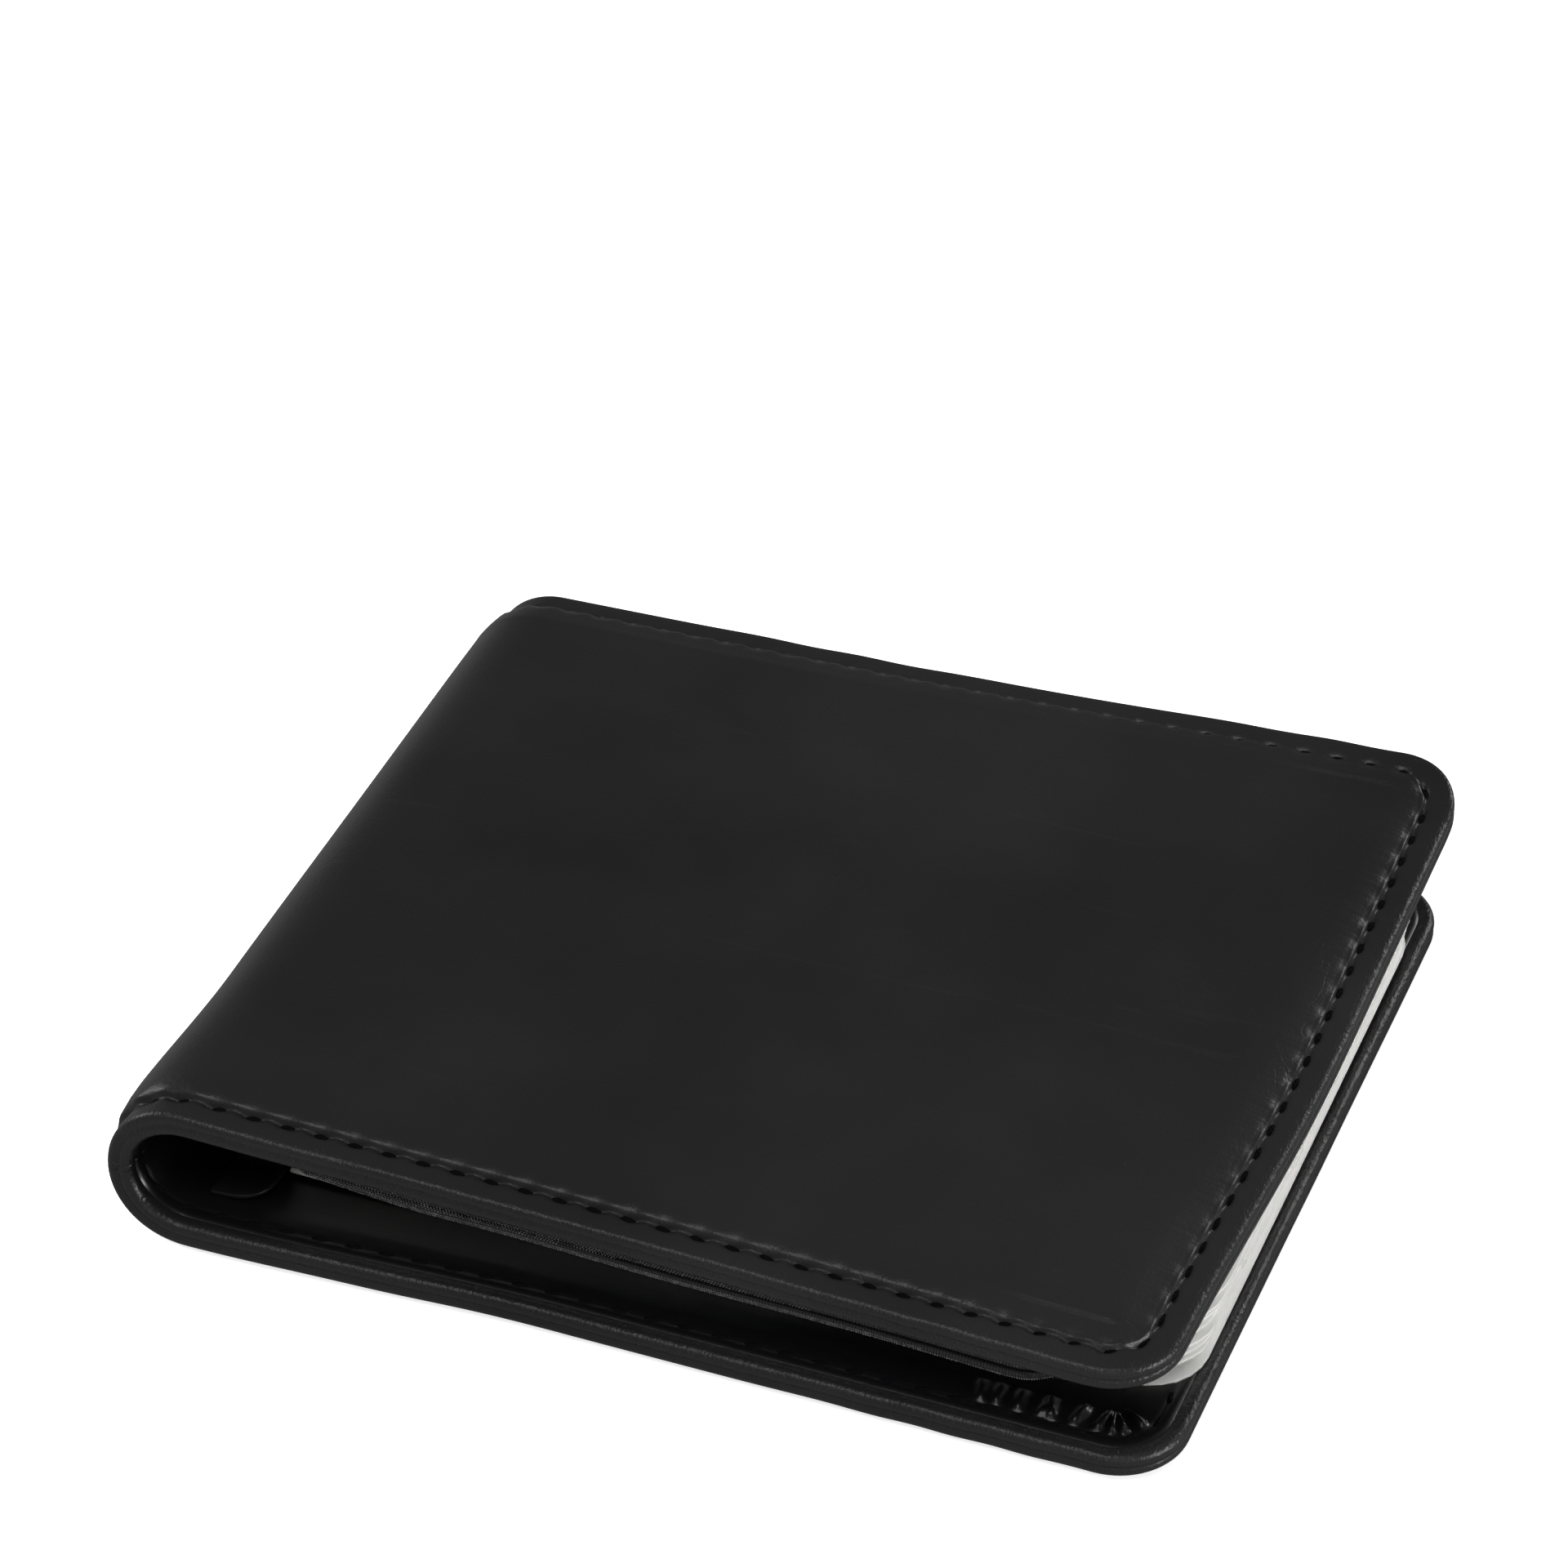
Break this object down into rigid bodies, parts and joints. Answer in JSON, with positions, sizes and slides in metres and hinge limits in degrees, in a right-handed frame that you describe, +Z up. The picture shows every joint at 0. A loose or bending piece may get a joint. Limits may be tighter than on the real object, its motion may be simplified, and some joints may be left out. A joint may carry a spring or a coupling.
{
  "type": "bifold wallet",
  "caption": "Closed bifold leather wallet with two padded covers on a rounded fold, a bill compartment, card pockets and clear sleeves that turn like pages.",
  "frame": {"origin": "middle of the footprint of the closed wallet, on the surface it lies on", "axes": "+X from the fold to the opening edge, +Y from the top edge, where notes go in, to the bottom edge, +Z up through the closed covers"},
  "size_m": [0.11, 0.095, 0.018],
  "materials": {
    "black_leather": "smooth fine grain, satin",
    "gloss_leather": "smooth, high gloss",
    "thread": "twisted thread",
    "foam": "soft foam, hidden",
    "board": "bonded board, hidden",
    "lining_fabric": "woven, with a ribbed selvedge",
    "clear_film": "frosted clear film"
  },
  "bodies": {
    "back_cover": {"back_outer_leather": "black_leather", "back_foam_pad": "foam", "back_board": "board", "back_lining": "gloss_leather", "back_stitching": "thread", "sleeve_strip": "gloss_leather", "sleeve_spine": "clear_film"},
    "spine": {"spine_outer_leather": "black_leather", "spine_foam_pad": "foam", "spine_lining": "gloss_leather", "spine_stitching": "thread"},
    "front_cover": {"front_outer_leather": "black_leather", "front_foam_pad": "foam", "front_board": "board", "front_lining": "gloss_leather", "front_stitching": "thread", "bill_divider": "lining_fabric", "bill_lining": "lining_fabric", "pocket_base": "gloss_leather", "card_pocket_1": "black_leather", "card_pocket_2": "black_leather", "card_pocket_3": "black_leather"},
    "sleeve_1": {"clear_sleeve_1": "clear_film"},
    "sleeve_2": {"clear_sleeve_2": "clear_film"},
    "sleeve_3": {"clear_sleeve_3": "clear_film"},
    "sleeve_4": {"clear_sleeve_4": "clear_film"},
    "sleeve_5": {"clear_sleeve_5": "clear_film"},
    "sleeve_6": {"clear_sleeve_6": "clear_film"},
    "sleeve_7": {"clear_sleeve_7": "clear_film"},
    "sleeve_8": {"clear_sleeve_8": "clear_film"}
  },
  "joints": [
    {"name": "fold_lower", "type": "hinge", "parent": "back_cover", "child": "spine", "pos_m": [-0.05236, 0, 0.00264], "axis": [0, -1, 0], "range_deg": [0, 90]},
    {"name": "fold_upper", "type": "hinge", "parent": "spine", "child": "front_cover", "pos_m": [-0.05236, 0, 0.01536], "axis": [0, -1, 0], "range_deg": [0, 90]},
    {"name": "sleeve_1_turn", "type": "hinge", "parent": "back_cover", "child": "sleeve_1", "pos_m": [-0.04055, 0, 0.0044], "axis": [0, -1, 0], "range_deg": [0, 9]},
    {"name": "sleeve_2_turn", "type": "hinge", "parent": "back_cover", "child": "sleeve_2", "pos_m": [-0.04055, 0, 0.00521], "axis": [0, -1, 0], "range_deg": [0, 30.87]},
    {"name": "sleeve_3_turn", "type": "hinge", "parent": "back_cover", "child": "sleeve_3", "pos_m": [-0.04055, 0, 0.00601], "axis": [0, -1, 0], "range_deg": [0, 52.72]},
    {"name": "sleeve_4_turn", "type": "hinge", "parent": "back_cover", "child": "sleeve_4", "pos_m": [-0.04055, 0, 0.00682], "axis": [0, -1, 0], "range_deg": [0, 74.58]},
    {"name": "sleeve_5_turn", "type": "hinge", "parent": "back_cover", "child": "sleeve_5", "pos_m": [-0.04079, 0, 0.00762], "axis": [0, -1, 0], "range_deg": [0, 96.43]},
    {"name": "sleeve_6_turn", "type": "hinge", "parent": "back_cover", "child": "sleeve_6", "pos_m": [-0.04134, 0, 0.00843], "axis": [0, -1, 0], "range_deg": [0, 118.29]},
    {"name": "sleeve_7_turn", "type": "hinge", "parent": "back_cover", "child": "sleeve_7", "pos_m": [-0.04228, 0, 0.00924], "axis": [0, -1, 0], "range_deg": [0, 140.14]},
    {"name": "sleeve_8_turn", "type": "hinge", "parent": "back_cover", "child": "sleeve_8", "pos_m": [-0.04395, 0, 0.01004], "axis": [0, -1, 0], "range_deg": [0, 162]}
  ],
  "couplings": [
    {"joint": "fold_upper", "follows": "fold_lower", "ratio": 1},
    {"joint": "sleeve_1_turn", "follows": "fold_lower", "ratio": 0.1},
    {"joint": "sleeve_2_turn", "follows": "fold_lower", "ratio": 0.3429},
    {"joint": "sleeve_3_turn", "follows": "fold_lower", "ratio": 0.5857},
    {"joint": "sleeve_4_turn", "follows": "fold_lower", "ratio": 0.8286},
    {"joint": "sleeve_5_turn", "follows": "fold_lower", "ratio": 1.0714},
    {"joint": "sleeve_6_turn", "follows": "fold_lower", "ratio": 1.3143},
    {"joint": "sleeve_7_turn", "follows": "fold_lower", "ratio": 1.5571},
    {"joint": "sleeve_8_turn", "follows": "fold_lower", "ratio": 1.8}
  ]
}
